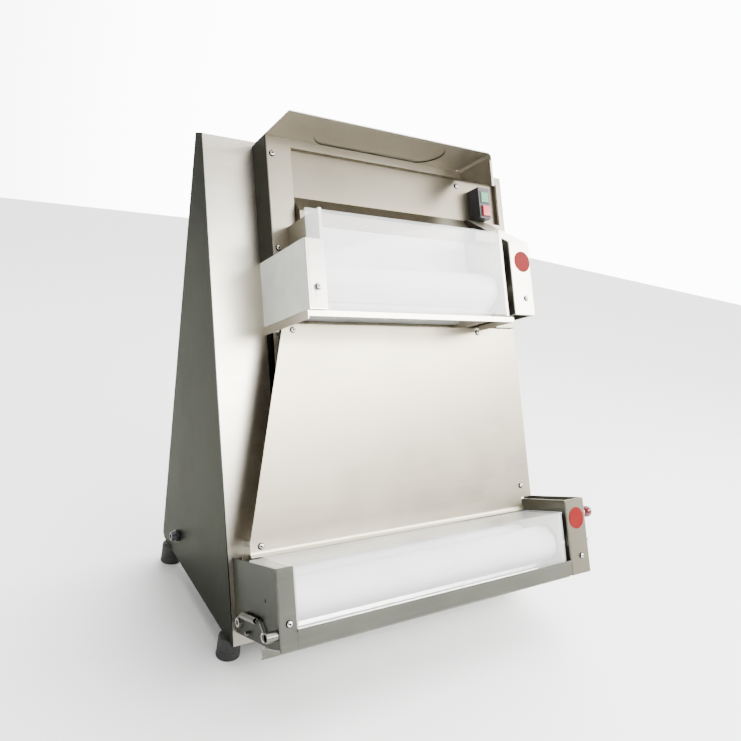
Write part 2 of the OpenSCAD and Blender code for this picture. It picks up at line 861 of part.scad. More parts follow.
module marker_discs() {
    color("red") on_slope() {
        stud(upper_box_x + upper_box_w / 2 + 4, upper_s - 46, disc_d, front_o, front_o + 0.5);
        stud(lower_box_x + lower_box_w / 2, lower_s - 40, disc_d, lower_front_o, lower_front_o + 0.5);
    }
}

// a white plate that leads the dough from the ledge past the rear roller
module upper_feed_guide() {
    color("white") on_slope() slab([upper_roller_x + 1, upper_roller_x + upper_roller_l - 1],
        [60.5 - 4.2, 60.4], [150.2, upper_s - roller_d / 2 - 4]);
}

// the folded rim under the upper unit
module upper_exit_rim() {
    t = sheet_t;
    rim_end = upper_box_x - 1;
    color("silver") on_slope() {
        slab([head_x, rim_end], [front_o - 12, front_o - 4], [head_bottom, head_bottom + t]);
        slab([head_x, rim_end], [front_o - 4 - t, front_o - 4], [head_bottom, head_bottom + 9]);
        slab([head_x, head_x + t], [0, front_o - 4], [head_bottom, head_bottom + 13]);
        slab([rim_end - t, rim_end], [chute_o + 5, front_o - 4], [head_bottom, head_bottom + 9]);
    }
}

// scraper blades on rods below a pair of rollers
module scraper_pair(x0, x1, blade_x, blade_l, s) {
    for (rod = [rear_rod, front_rod]) bar(x0, x1 - x0, rod_d, rod[0], s + rod[1]);
    across(blade_x, blade_l) {
        polygon([[rear_rod[0] - 2, s + rear_rod[1] - 4], [rear_rod[0] + 3.9, s + rear_rod[1] - 12.7],
                 [rear_rod[0] + 6.1, s + rear_rod[1] - 11], [rear_rod[0] + 4, s + rear_rod[1] + 1]]);
        polygon([[front_rod[0] - 4, s + front_rod[1] - 2], [front_rod[0] - 1, s + roller_d / 2 + 1],
                 [front_rod[0] + 2, s + roller_d / 2 + 1], [front_rod[0] + 4, s + front_rod[1] - 2]]);
    }
}

module upper_scrapers() {
    color("white") on_slope() scraper_pair(upper_plate_l_x - 2, upper_plate_r_x + upper_plate_t + 2,
        upper_roller_x + 4, upper_roller_l - 8, upper_s);
}

module lower_scrapers() {
    color("silver") on_slope() difference() {
        scraper_pair(lower_x - 4.5, lower_plate_r_x + lower_plate_t + 2,
            lower_roller_x + 4, lower_roller_l - 8, lower_s);
        for (rod = [rear_rod, front_rod]) bar(lower_x - 5.5, 10, rod_d - 4, rod[0], lower_s + rod[1]);
    }
}

// levers on the ends of the lower scraper rods, and the coil spring between them
module scraper_spring() {
    s_arm = lower_s + 22;
    wire = 2.2;
    coil = 4.6;
    x = lower_x - 5.5;
    arm_x = lower_x - 4;
    arms = [[rear_rod[0], rear_rod[1], 36], [front_rod[0], front_rod[1], front_axis_o - 10]];
    color("silver") on_slope() {
        for (arm = arms) difference() {
            union() {
                across(arm_x, 2) polygon([
                    [arm[0] - 3, lower_s + arm[1] - 6.5], [arm[2] - 2, s_arm - 2],
                    [arm[2] + 2, s_arm - 2], [arm[0] + 3, lower_s + arm[1] - 6]]);
                bar(arm_x, 2, rod_d + 3, arm[0], lower_s + arm[1]);
            }
            bar(arm_x - 1, 4, rod_d, arm[0], lower_s + arm[1]);
        }
        for (o = [arms[0][2] + 4 : wire : arms[1][2] - 5]) translate([x, -o, -s_arm]) rotate([90, 0, 0])
            rotate_extrude($fn = 32) translate([coil - wire / 2, 0]) circle(d = wire + 0.1, $fn = 16);
        for (arm = arms) bar(x - 2, arm_x + 2 - x + 2, 2.4, arm[2], s_arm - 0.5);
        slab([x - 0.8, x + 0.8], [arms[0][2], arms[0][2] + 5], [s_arm - 1.3, s_arm + 0.3]);
        slab([x - 0.8, x + 0.8], [arms[1][2] - 6, arms[1][2]], [s_arm - 1.3, s_arm + 0.3]);
        bar(lower_x - 6, 6, 6, 45, lower_s + 46);
    }
}

module lower_left_plate() {
    t = panel_t;
    color("gray") on_slope() difference() {
        union() {
            slab([lower_x, lower_x + t], [0, lower_front_o], [lower_unit_s, lower_bottom_s]);
            slab([lower_x, lower_x + flange_w], [lower_front_o - t, lower_front_o],
                 [lower_unit_s, lower_bottom_s]);
        }
        for (rod = [rear_rod, front_rod]) bar(lower_x - 1, t + 2, rod_d, rod[0], lower_s + rod[1]);
        bar(lower_x - 1, t + 2, screw_d, 106, lower_s - 6);
        screw_hole(lower_guard_screw[0], lower_guard_screw[1], lower_front_o, t);
    }
}

module lower_inner_plate() {
    color("silver") on_slope() bearing_plate(lower_plate_l_x, lower_plate_t, lower_unit_s + 1,
        lower_bottom_s - sheet_t, lower_guard_o - 1, lower_s, [rear_rod, front_rod]);
}

module lower_right_plate() {
    color("silver") on_slope() bearing_plate(lower_plate_r_x, lower_plate_t, lower_unit_s + 1,
        lower_bottom_s - sheet_t, lower_guard_o - 1, lower_s, [rear_rod, front_rod]);
}

lower_guard_screw = [lower_x + 15, lower_s + 20];
lower_guard_o = lower_front_o - panel_t - guard_t;

// a clear cover folded over the top of the front roller
module lower_guard() {
    t = guard_t;
    right = lower_plate_r_x + lower_plate_t;
    shelf_o = chute_o + 13;
    color("lightcyan") on_slope() difference() {
        union() {
            slab([lower_x + panel_t + 0.3, right], [lower_guard_o, lower_guard_o + t],
                 [lower_unit_s - t, lip_s]);
            slab([lower_x, right], [shelf_o, lower_front_o], [lower_unit_s - t, lower_unit_s]);
        }
        screw_hole(lower_guard_screw[0], lower_guard_screw[1], lower_front_o, panel_t + t);
    }
}

module lower_front_lip() {
    t = sheet_t;
    color("silver") on_slope() {
        slab([lower_x + flange_w, lower_box_x], [lower_front_o - t, lower_front_o], [lip_s, lower_bottom_s]);
        slab([lower_x + flange_w, lower_plate_r_x + lower_plate_t], [lower_guard_o - 8, lower_front_o],
             [lower_bottom_s - t, lower_bottom_s]);
        slab([lower_x + flange_w, lower_box_x], [lower_front_o, lower_front_o + 1.5], [lip_s, lip_s + 4]);
    }
}

// the sheet that the finished dough leaves on, with a tab at its left end and the tube it hangs on
module lower_tray() {
    t = sheet_t;
    edge_o = lower_front_o - 0.3;
    color("silver") on_slope() {
        slab([lower_x, lower_box_x - 6], [96, edge_o], [lower_bottom_s, lower_bottom_s + t]);
        slab([tray_x, lower_x + 1], [edge_o - 4, edge_o], [lower_bottom_s, lower_bottom_s + t]);
        facing(edge_o - t, t) polygon([
            [tray_x, lower_bottom_s - 13], [lower_x - 0.3, lower_bottom_s - 4],
            [lower_x - 0.3, lower_bottom_s + 1], [tray_x, lower_bottom_s + 1]]);
        slab([lower_x, lower_box_x - 6], [96, 96 + t], [lower_bottom_s, lower_bottom_s + 10]);
        difference() {
            bar(lower_x - 16, 15.9, 14, edge_o - 8.7, lower_s + 33);
            bar(lower_x - 17, 12, 10, edge_o - 8.7, lower_s + 33);
        }
    }
}

module guard_screws() {
    color("dimgray") on_slope() {
        front_screw(upper_guard_screw[0], upper_guard_screw[1], front_o + guard_t);
        front_screw(upper_box_screw[0], upper_box_screw[1], front_o);
        front_screw(lower_guard_screw[0], lower_guard_screw[1], lower_front_o);
        front_screw(lower_box_screw[0], lower_box_screw[1], lower_front_o);
    }
}

// ---- gap adjusters ----

// the cam's radius falls steadily as the lever leans back, which lets the block move out
module cam_2d(rest) {
    steps = 30;
    span = lever_turn + 16;
    polygon([
        for (i = [0 : steps]) let (a = -8 + span * i / steps, r = cam_r - cam_rate * min(max(a, 0), lever_turn))
            [-r * cos(a - rest), -r * sin(a - rest)],
        for (i = [0 : steps]) let (a = span - 8 + (360 - span) * i / steps)
            [-(cam_r - gap_travel) * cos(a - rest), -(cam_r - gap_travel) * sin(a - rest)]
    ]);
}

module lever(cam_x, box_right, s, rest) {
    arm_x = box_right + 2;
    tip = [pivot_o - lever_r * sin(rest), s - lever_r * cos(rest)];
    bar(cam_x, arm_x + 7 - cam_x, lever_shaft_d, pivot_o, s);
    across(cam_x, 6) translate([pivot_o, s]) cam_2d(rest);
    difference() {
        union() {
            bar(arm_x, 6, 20, pivot_o, s);
            bar(arm_x, 6, 16, tip[0], tip[1]);
            across(arm_x, 6) translate([pivot_o, s]) rotate(-rest) translate([-7, -lever_r]) square([14, lever_r]);
        }
        bar(arm_x - 1, 8, 6 + 2 * running_fit, tip[0], tip[1]);
    }
}

// a sprung pin in the end of a lever; its tip drops into the index holes
module index_pin(box_right, s, rest) {
    tip = [pivot_o - lever_r * sin(rest), s - lever_r * cos(rest)];
    bar(box_right + 0.3, 13, 6, tip[0], tip[1]);
    bar(box_right + 8.3, 2, 9, tip[0], tip[1]);
}

module ball_knob(box_right, s, rest) {
    tip = [pivot_o - lever_r * sin(rest), s - lever_r * cos(rest)];
    knob_x = box_right + pin_out + knob_d / 2;
    difference() {
        union() {
            translate([knob_x, -tip[0], -tip[1]]) sphere(d = knob_d);
            bar(box_right + pin_out, 3, 10, tip[0], tip[1]);
        }
        bar(box_right + pin_out - 0.3, 3.3, 6, tip[0], tip[1]);
    }
}

module upper_lever() {
    color("silver") on_slope() lever(upper_plate_r_x + 6.5, upper_box_right, upper_s, upper_lever_rest);
}

module upper_index_pin() {
    color("silver") on_slope() index_pin(upper_box_right, upper_s, upper_lever_rest);
}

module upper_ball_knob() {
    color("darkred") on_slope() ball_knob(upper_box_right, upper_s, upper_lever_rest);
}

module lower_lever() {
    color("silver") on_slope() lever(lower_plate_r_x + 6.5, lower_box_right, lower_s, 0);
}

module lower_index_pin() {
    color("silver") on_slope() index_pin(lower_box_right, lower_s, 0);
}

module lower_ball_knob() {
    color("darkred") on_slope() ball_knob(lower_box_right, lower_s, 0);
}

left_side_panel();
right_side_panel();
body_shell();
base_plate();
back_cover();
back_cover_screws();
rubber_feet();
cable_gland();
head_casing();
infeed_back_plate();
front_screws();
canopy();
switch_body();
start_button();
stop_button();
chute();
chute_standoffs();
gear_motor();
shaft_support();
drive_shaft();
drive_pulleys();
upper_belt();
lower_belt();
roller_bushes();
upper_left_cheek();
upper_inner_plate();
upper_right_plate();
upper_guard();
upper_end_box();
upper_feed_guide();
upper_exit_rim();
upper_scrapers();
upper_rear_roller();
upper_rear_gear();
upper_front_roller();
upper_front_gear();
upper_slide_blocks();
upper_lever();
upper_index_pin();
upper_ball_knob();
lower_left_plate();
lower_inner_plate();
lower_right_plate();
lower_guard();
lower_end_box();
lower_front_lip();
lower_tray();
lower_scrapers();
scraper_spring();
lower_rear_roller();
lower_rear_gear();
lower_front_roller();
lower_front_gear();
lower_slide_blocks();
lower_lever();
lower_index_pin();
lower_ball_knob();
marker_discs();
guard_screws();
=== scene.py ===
"""A two-stage dough sheeter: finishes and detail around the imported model."""

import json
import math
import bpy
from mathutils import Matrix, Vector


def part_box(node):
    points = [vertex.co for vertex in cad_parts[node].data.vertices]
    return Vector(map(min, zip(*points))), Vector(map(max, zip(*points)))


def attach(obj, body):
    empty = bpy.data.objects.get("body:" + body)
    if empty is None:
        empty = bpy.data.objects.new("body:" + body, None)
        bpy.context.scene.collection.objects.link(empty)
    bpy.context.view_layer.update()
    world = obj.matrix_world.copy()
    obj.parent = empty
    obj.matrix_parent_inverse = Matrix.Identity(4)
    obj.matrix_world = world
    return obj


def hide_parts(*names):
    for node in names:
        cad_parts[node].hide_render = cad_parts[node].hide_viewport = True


bl_info = {
    "name": "Dough Sheeter",
    "version": (1, 0, 0),
    "blender": (4, 5, 0),
    "location": "3D View > Sidebar > Dough Sheeter",
    "description": "Builds the finishes, hardware and studio of a two-stage dough sheeter",
    "category": "Object",
}

import bmesh
import bpy
from bpy.props import FloatProperty, FloatVectorProperty, IntProperty, PointerProperty
from mathutils import Matrix, Vector

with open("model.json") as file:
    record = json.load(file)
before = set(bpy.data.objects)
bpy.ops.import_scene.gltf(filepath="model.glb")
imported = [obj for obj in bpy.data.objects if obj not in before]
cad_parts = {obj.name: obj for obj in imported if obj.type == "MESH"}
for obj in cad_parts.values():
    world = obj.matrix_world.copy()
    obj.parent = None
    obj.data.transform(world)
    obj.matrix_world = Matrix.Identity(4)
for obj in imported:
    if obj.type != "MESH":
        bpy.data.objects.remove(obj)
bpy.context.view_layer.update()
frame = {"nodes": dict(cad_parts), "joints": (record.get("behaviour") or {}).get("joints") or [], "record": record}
NODES = frame["nodes"]
SLOTS = {row["node"]: row["material_slot"] for row in frame["record"]["subparts"]}
MM = 0.001
NEAR = 0.01 * MM  # points closer than this are in the same place

# The sloping front: across the rollers, out of the front sheet and down along it.
ACROSS = Vector((1, 0, 0))
BACK = Vector((0, 1, 0))
OUT = Vector(next(j["axis"] for j in frame["joints"] if j["name"] == "upper_gap")).normalized()
DOWN = ACROSS.cross(OUT).normalized()


# ---- sizes and colours a user would change ----


class SheeterSizes(bpy.types.PropertyGroup):
    """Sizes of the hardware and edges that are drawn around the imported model"""

    edge_radius: FloatProperty(
        name="Edge Radius", description="Rounding on the cut edges of the sheet metal",
        default=0.4 * MM, min=0.1 * MM, max=1.0 * MM, subtype="DISTANCE", unit="LENGTH")
    bend_radius: FloatProperty(
        name="Bend Radius", description="Outer radius of the folds in the sheet metal",
        default=2.6 * MM, min=1.0 * MM, max=5.0 * MM, subtype="DISTANCE", unit="LENGTH")
    socket_width: FloatProperty(
        name="Socket Width", description="Width across flats of the screws' hexagon sockets",
        default=3.4 * MM, min=2.0 * MM, max=5.0 * MM, subtype="DISTANCE", unit="LENGTH")
    louvre_proud: FloatProperty(
        name="Louvre Height", description="How far the louvre hoods stand out of the back cover",
        default=2.6 * MM, min=1.0 * MM, max=3.0 * MM, subtype="DISTANCE", unit="LENGTH")
    turned_sides: IntProperty(
        name="Turned Sides", description="Sides of the turned pieces", default=48, min=24, max=96)


def colour(name, description, default):
    return FloatVectorProperty(
        name=name, description=description, default=default, size=3,
        min=0.0, max=1.0, subtype="COLOR")


class SheeterColours(bpy.types.PropertyGroup):
    """Base colours of the finishes"""

    # The steels below are one brushed steel in lighter and darker tones. The darker tones of fascia, canopy,
    # recess, side panels and side are painted shade, for sheets under the canopy, in recesses or turned away from
    # the light.
    panel: colour("Panel Steel", "Brushed steel of the front and the housings", (0.58, 0.54, 0.455))
    # Recess steel is painted shade: the infeed plate under the canopy, the lower end box and the guard bracket
    # stand in shadow.
    recess: colour("Recess Steel", "Infeed plate, lower end box and guard bracket", (0.19, 0.17, 0.13))
    fascia: colour("Fascia Steel", "Brushed steel of the head", (0.27, 0.243, 0.19))
    canopy: colour("Canopy Steel", "Satin steel of the canopy", (0.39, 0.365, 0.315))
    chute: colour("Chute Steel", "Brushed steel of the chute", (0.38, 0.34, 0.262))
    # Side panel steel is painted shade: the body's sides are the same steel, darkened for facing away from the
    # light.
    shaded_side_panels: colour("Side Panel Steel", "Dark satin steel of the body's sides", (0.034, 0.036, 0.031))
    # Side steel is a dark copy of the steel: painted shade on the left-facing ends of sheets, and the back cover's
    # finish.
    side: colour("Side Steel", "Back cover and left ends of the sheets", (0.055, 0.058, 0.05))
    # Flange steel is a darker copy of the steel; on the end boxes' left-facing ends it is painted shade.
    flange: colour("Flange Steel", "Satin steel of the lower unit and base", (0.145, 0.145, 0.122))
    film: colour("Cheek Film", "Matte film on the upper left cheek", (0.56, 0.57, 0.53))
    bright: colour("Bright Steel", "Turned and polished steel", (0.74, 0.73, 0.70))
    machined: colour("Machined Steel", "Gears, pulleys and shafts", (0.42, 0.42, 0.43))
    # Painted shade: a near-black finish for the screws' skirts and sockets and the canopy's crease, where shade
    # falls.
    painted_shade: colour("Painted Shade", "Skirts and sockets of screws, canopy crease", (0.016, 0.016, 0.015))
    brass: colour("Bush Brass", "Bushes and slide blocks", (0.62, 0.44, 0.20))
    roller: colour("Roller White", "Food-grade plastic of the rollers", (0.90, 0.91, 0.90))
    rubber: colour("Rubber", "Feet and belts", (0.012, 0.012, 0.012))
    plastic: colour("Black Plastic", "Switch body and cable gland", (0.022, 0.022, 0.024))
    start: colour("Start Green", "Start button", (0.04, 0.20, 0.09))
    stop: colour("Stop Red", "Stop button", (0.50, 0.03, 0.035))
    disc: colour("Disc Red", "Round marker discs", (0.17, 0.001, 0.0005))
    knob: colour("Knob Crimson", "Ball knobs", (0.10, 0.001, 0.003))
    motor: colour("Motor Grey", "Cast housing of the gear motor", (0.10, 0.12, 0.14))
    floor: colour("Floor", "Studio floor", (0.86, 0.86, 0.85))


def sizes():
    return bpy.context.scene.sheeter_sizes


def colours():
    return bpy.context.scene.sheeter_colours


# ---- modelling helpers ----


def deselect_all():
    if bpy.context.object and bpy.context.object.mode != "OBJECT":
        bpy.ops.object.mode_set(mode="OBJECT")
    bpy.ops.object.select_all(action="DESELECT")


def make_active(piece):
    deselect_all()
    piece.select_set(True)
    bpy.context.view_layer.objects.active = piece


def select_faces(piece, wanted):
    """In edit mode, selects the faces for which wanted(centre, normal) is true"""
    bpy.ops.mesh.select_mode(type="FACE")
    bpy.ops.mesh.select_all(action="DESELECT")
    mesh = bmesh.from_edit_mesh(piece.data)
    for face in mesh.faces:
        face.select_set(bool(wanted(face.calc_center_median(), face.normal)))
    bmesh.update_edit_mesh(piece.data)


def select_edges(piece, wanted):
    """In edit mode, selects the edges for which wanted(end, end) is true"""
    bpy.ops.mesh.select_mode(type="EDGE")
    bpy.ops.mesh.select_all(action="DESELECT")
    mesh = bmesh.from_edit_mesh(piece.data)
    found = 0
    for edge in mesh.edges:
        hit = bool(wanted(edge.verts[0].co, edge.verts[1].co))
        edge.select_set(hit)
        found += hit
    bmesh.update_edit_mesh(piece.data)
    return found


def apply_modifier(piece, kind, **settings):
    modifier = piece.modifiers.new(kind.title(), kind)
    for key, value in settings.items():
        setattr(modifier, key, value)
    make_active(piece)
    bpy.ops.object.modifier_apply(modifier=modifier.name)


def shade(piece, degrees):
    make_active(piece)
    bpy.ops.object.shade_smooth_by_angle(angle=math.radians(degrees))


def keep_flats(piece):
    """Lets broad flat faces set the shading of the small roundings beside them"""
    apply_modifier(piece, "WEIGHTED_NORMAL", mode="FACE_AREA", weight=80, keep_sharp=True)


def second_finish(piece, material, wanted):
    """Gives the faces for which wanted(centre, normal) is true another finish"""
    piece.data.materials.append(material)
    index = len(piece.data.materials) - 1
    for face in piece.data.polygons:
        if wanted(face.center, face.normal):
            face.material_index = index


def place(piece, matrix):
    piece.data.transform(matrix)
    piece.data.update()


def dress(piece, material):
    piece.data.materials.clear()
    piece.data.materials.append(material)


def turned(name, profile, sides=None):
    """A turned piece on the Z axis: a disc is drawn up through (radius, height) steps"""
    deselect_all()
    radius, height = profile[0]
    bpy.ops.mesh.primitive_circle_add(
        vertices=sides or sizes().turned_sides, radius=radius, fill_type="NGON",
        location=(0, 0, height))
    piece = bpy.context.object
    piece.name = name
    bpy.ops.object.transform_apply(location=True, rotation=False, scale=False)
    bpy.ops.object.mode_set(mode="EDIT")
    bpy.ops.mesh.select_all(action="SELECT")
    for next_radius, next_height in profile[1:]:
        bpy.ops.mesh.extrude_region_move(
            TRANSFORM_OT_translate={"value": (0, 0, next_height - height)})
        scale = next_radius / radius
        bpy.ops.transform.resize(value=(scale, scale, 1), center_override=(0, 0, next_height))
        radius, height = next_radius, next_height
    bpy.ops.mesh.select_all(action="SELECT")
    bpy.ops.mesh.normals_make_consistent(inside=False)
    bpy.ops.object.mode_set(mode="OBJECT")
    return piece


def copy_at(original, name, matrix):
    piece = original.copy()
    piece.data = original.data.copy()
    piece.name = name
    bpy.context.scene.collection.objects.link(piece)
    place(piece, matrix)
    return piece


def join(name, parts):
    """Joins parts into one piece at the origin"""
    deselect_all()
    for part in parts:
        part.select_set(True)
    bpy.context.view_layer.objects.active = parts[0]
    if len(parts) > 1:
        bpy.ops.object.join()
    piece = bpy.context.object
    piece.name = name
    return piece


def discard(piece):
    bpy.data.objects.remove(piece)


def fit(piece, body, slot, *nodes):
    """Hangs a finished piece on its body, and hides the nodes that it stands for"""
    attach(piece, body)
    if nodes:
        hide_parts(*nodes)


def merged_copy(node, name):
    """A copy of a CAD node with its loose triangles merged into flat faces"""
    source = NODES[node]
    piece = bpy.data.objects.new(name, source.data.copy())
    bpy.context.scene.collection.objects.link(piece)
    make_active(piece)
    bpy.ops.mesh.customdata_custom_splitnormals_clear()
    bpy.ops.object.mode_set(mode="EDIT")
    bpy.ops.mesh.select_all(action="SELECT")
    bpy.ops.mesh.remove_doubles(threshold=NEAR)
    bpy.ops.mesh.dissolve_limited(angle_limit=math.radians(0.5))
    bpy.ops.object.mode_set(mode="OBJECT")
    return piece


def folded(node, material, bends=(), width=None, body="frame", ends=None):
    """Stands for a node: its bends are rounded, its edges broken, its left-facing faces given a second finish,
    which is painted shade where it is a darker steel
    """
    piece = merged_copy(node, "folded_" + node)
    if bends:
        bpy.ops.object.mode_set(mode="EDIT")
        for wanted, radius in bends:
            if select_edges(piece, wanted):
                bpy.ops.mesh.bevel(
                    offset=radius, offset_type="OFFSET", segments=4, profile=0.5, affect="EDGES",
                    clamp_overlap=True)
        bpy.ops.object.mode_set(mode="OBJECT")
    apply_modifier(
        piece, "BEVEL", width=width or sizes().edge_radius, segments=2, limit_method="ANGLE",
        angle_limit=math.radians(40), use_clamp_overlap=True)
    dress(piece, material)
    shade(piece, 35)
    keep_flats(piece)
    # Painted shade: faces turned to the left, away from the light, take the ends finish, a darker steel; on the
    # upper left cheek it is a matte film.
    if ends:
        second_finish(piece, ends, lambda centre, normal: normal.x < -0.8)
    fit(piece, body, SLOTS[node], node)
    return piece


def front_fold(node, right=True):
    """The test for a sheet's upright folds between its front and its left and right sides"""
    low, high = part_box(node)
    front = max(out_of(v.co) for v in NODES[node].data.vertices)

    def wanted(a, b):
        if min(out_of(a), out_of(b)) < front - NEAR:
            return False
        at_left = abs(a.x - low.x) < NEAR and abs(b.x - low.x) < NEAR
        at_right = abs(a.x - high.x) < NEAR and abs(b.x - high.x) < NEAR
        return at_left or (right and at_right)

    return wanted


def down_of(point):
    return Vector(point).dot(DOWN)


def out_of(point):
    return Vector(point).dot(OUT)


def solid_points(node):
    """The corner points of each separate solid of a CAD node"""
    mesh = bmesh.new()
    mesh.from_mesh(NODES[node].data)
    bmesh.ops.remove_doubles(mesh, verts=mesh.verts, dist=NEAR)
    seen, groups = set(), []
    for start in mesh.verts:
        if start in seen:
            continue
        seen.add(start)
        reach, group = [start], []
        while reach:
            vert = reach.pop()
            group.append(vert.co.copy())
            for edge in vert.link_edges:
                other = edge.other_vert(vert)
                if other not in seen:
                    seen.add(other)
                    reach.append(other)
        groups.append(group)
    mesh.free()
    return groups


def span(points, direction):
    """The least and greatest place of the points along a direction"""
    reach = [p.dot(direction) for p in points]
    return min(reach), max(reach)


def frame_on(direction):
    """A turn that takes the Z axis to direction, which isn't upright, and keeps the X axis level"""
    z = direction.normalized()
    x = Vector((0, 0, 1)).cross(z)
    x.normalize()
    y = z.cross(x)
    return Matrix((x, y, z)).transposed().to_4x4()


# ---- finishes ----


def new_material(name):
    material = bpy.data.materials.new(name)
    material.use_nodes = True
    tree = material.node_tree
    shader = tree.nodes["Principled BSDF"]
    return material, tree, shader


def link(tree, source, target):
    tree.links.new(source, target)


def object_noise(tree, stretch, scale, detail, roughness=0.55, turn=(0, 0, 0)):
    """Noise in metres on the piece, stretched along the axis whose stretch is small"""
    place_node = tree.nodes.new("ShaderNodeTexCoord")
    mapping = tree.nodes.new("ShaderNodeMapping")
    mapping.inputs["Scale"].default_value = stretch
    mapping.inputs["Rotation"].default_value = turn
    noise = tree.nodes.new("ShaderNodeTexNoise")
    noise.inputs["Scale"].default_value = scale
    noise.inputs["Detail"].default_value = detail
    noise.inputs["Roughness"].default_value = roughness
    link(tree, place_node.outputs["Object"], mapping.inputs["Vector"])
    link(tree, mapping.outputs["Vector"], noise.inputs["Vector"])
    return noise.outputs["Fac"]


def remap(tree, value, low, high, from_low=0.3, from_high=0.7):
    node = tree.nodes.new("ShaderNodeMapRange")
    node.inputs["From Min"].default_value = from_low
    node.inputs["From Max"].default_value = from_high
    node.inputs["To Min"].default_value = low
    node.inputs["To Max"].default_value = high
    link(tree, value, node.inputs["Value"])
    return node.outputs["Result"]


def tinted(tree, value, dark, light):
    ramp = tree.nodes.new("ShaderNodeValToRGB")
    ramp.color_ramp.elements[0].position = 0.3
    ramp.color_ramp.elements[0].color = (*dark, 1)
    ramp.color_ramp.elements[1].position = 0.7
    ramp.color_ramp.elements[1].color = (*light, 1)
    link(tree, value, ramp.inputs["Fac"])
    return ramp.outputs["Color"]


def scaled(base, factor):
    return tuple(min(1.0, c * factor) for c in base)


def bump(tree, shader, value, strength, distance):
    node = tree.nodes.new("ShaderNodeBump")
    node.inputs["Strength"].default_value = strength
    node.inputs["Distance"].default_value = distance
    link(tree, value, node.inputs["Height"])
    link(tree, node.outputs["Normal"], shader.inputs["Normal"])


def mixed(tree, a, b, factor=0.5):
    node = tree.nodes.new("ShaderNodeMix")
    node.data_type = "FLOAT"
    node.inputs["Factor"].default_value = factor
    link(tree, a, node.inputs["A"])
    link(tree, b, node.inputs["B"])
    return node.outputs["Result"]


# How closely the brushing is packed along X, Y and Z: a line runs where it is loose.
ALONG_ROLLERS = (2.5, 260, 260)
UPRIGHT = (260, 260, 2.5)


def brushed_steel(name, base, rough, grain=ALONG_ROLLERS, turn=(0, 0, 0), edge=1.0):
    """Brushed sheet: fine lines, deeper scratches and soft marks; edge dims it at a glancing angle"""
    material, tree, shader = new_material(name)
    lines = object_noise(tree, grain, 5.0, 4.0, 0.6, turn)
    scratches = object_noise(tree, tuple(g * 0.35 for g in grain), 3.0, 6.0, 0.75, turn)
    marks = object_noise(tree, (1, 1, 1), 9.0, 5.0, 0.62)
    both = mixed(tree, lines, scratches)
    shader.inputs["Metallic"].default_value = 1.0
    shader.inputs["Specular Tint"].default_value = (edge, edge, edge * 0.96, 1)
    link(tree, tinted(tree, mixed(tree, both, marks, 0.35), scaled(base, 0.93), scaled(base, 1.06)),
         shader.inputs["Base Color"])
    link(tree, remap(tree, mixed(tree, both, marks), rough - 0.05, rough + 0.08),
         shader.inputs["Roughness"])
    bump(tree, shader, both, 0.06, 0.0004)
    return material


def polished_steel(name, base, rough=0.16):
    """Turned or polished steel with faint rings"""
    material, tree, shader = new_material(name)
    rings = object_noise(tree, (180, 40, 40), 6.0, 3.0)
    shader.inputs["Metallic"].default_value = 1.0
    link(tree, tinted(tree, rings, scaled(base, 0.92), scaled(base, 1.05)),
         shader.inputs["Base Color"])
    link(tree, remap(tree, rings, rough, rough + 0.12), shader.inputs["Roughness"])
    bump(tree, shader, rings, 0.04, 0.0003)
    return material


def oiled_metal(name, base, rough=0.34):
    """Machined parts with a film of oil that gathers in patches"""
    material, tree, shader = new_material(name)
    patches = object_noise(tree, (1, 1, 1), 60.0, 5.0, 0.6)
    cuts = object_noise(tree, (400, 60, 60), 4.0, 2.0)
    shader.inputs["Metallic"].default_value = 1.0
    link(tree, tinted(tree, patches, scaled(base, 0.72), scaled(base, 1.08)),
         shader.inputs["Base Color"])
    link(tree, remap(tree, patches, rough - 0.1, rough + 0.14), shader.inputs["Roughness"])
    bump(tree, shader, cuts, 0.05, 0.0004)
    return material


def moulded(name, base, rough, grain=900.0, relief=0.10, coat=0.0):
    """Moulded plastic or rubber with a fine grain and slight unevenness"""
    material, tree, shader = new_material(name)
    fine = object_noise(tree, (1, 1, 1), grain, 2.0, 0.5)
    broad = object_noise(tree, (1, 1, 1), 24.0, 4.0, 0.6)
    link(tree, tinted(tree, broad, scaled(base, 0.88), scaled(base, 1.08)),
         shader.inputs["Base Color"])
    link(tree, remap(tree, mixed(tree, fine, broad), rough - 0.06, rough + 0.10),
         shader.inputs["Roughness"])
    bump(tree, shader, fine, relief, 0.0003)
    shader.inputs["Coat Weight"].default_value = coat
    shader.inputs["Coat Roughness"].default_value = 0.08
    return material


def roller_plastic(name, base):
    """White plastic with faint turning rings, a dusting of flour and dulled bands"""
    material, tree, shader = new_material(name)
    rings = object_noise(tree, (300, 12, 12), 3.0, 3.0)
    flour = object_noise(tree, (1, 2.2, 2.2), 30.0, 6.0, 0.68)
    link(tree, tinted(tree, mixed(tree, rings, flour, 0.6), scaled(base, 0.93), scaled(base, 1.03)),
         shader.inputs["Base Color"])
    link(tree, remap(tree, flour, 0.26, 0.50), shader.inputs["Roughness"])
    bump(tree, shader, rings, 0.05, 0.0004)
    shader.inputs["Subsurface Weight"].default_value = 0.06
    shader.inputs["Subsurface Radius"].default_value = (0.004, 0.004, 0.004)
    return material


def clear_sheet(name):
    """Clear polycarbonate: thin, glossy, a little scuffed"""
    material, tree, shader = new_material(name)
    scuffs = object_noise(tree, (3, 90, 90), 5.0, 6.0, 0.7)
    clouds = object_noise(tree, (1, 1, 1), 14.0, 3.0)
    shader.inputs["Base Color"].default_value = (0.93, 0.96, 0.96, 1)
    link(tree, remap(tree, mixed(tree, scuffs, clouds), 0.03, 0.16), shader.inputs["Roughness"])
    link(tree, remap(tree, mixed(tree, scuffs, clouds, 0.6), 0.13, 0.30), shader.inputs["Alpha"])
    shader.inputs["IOR"].default_value = 1.58
    shader.inputs["Coat Weight"].default_value = 0.6
    shader.inputs["Coat Roughness"].default_value = 0.03
    return material


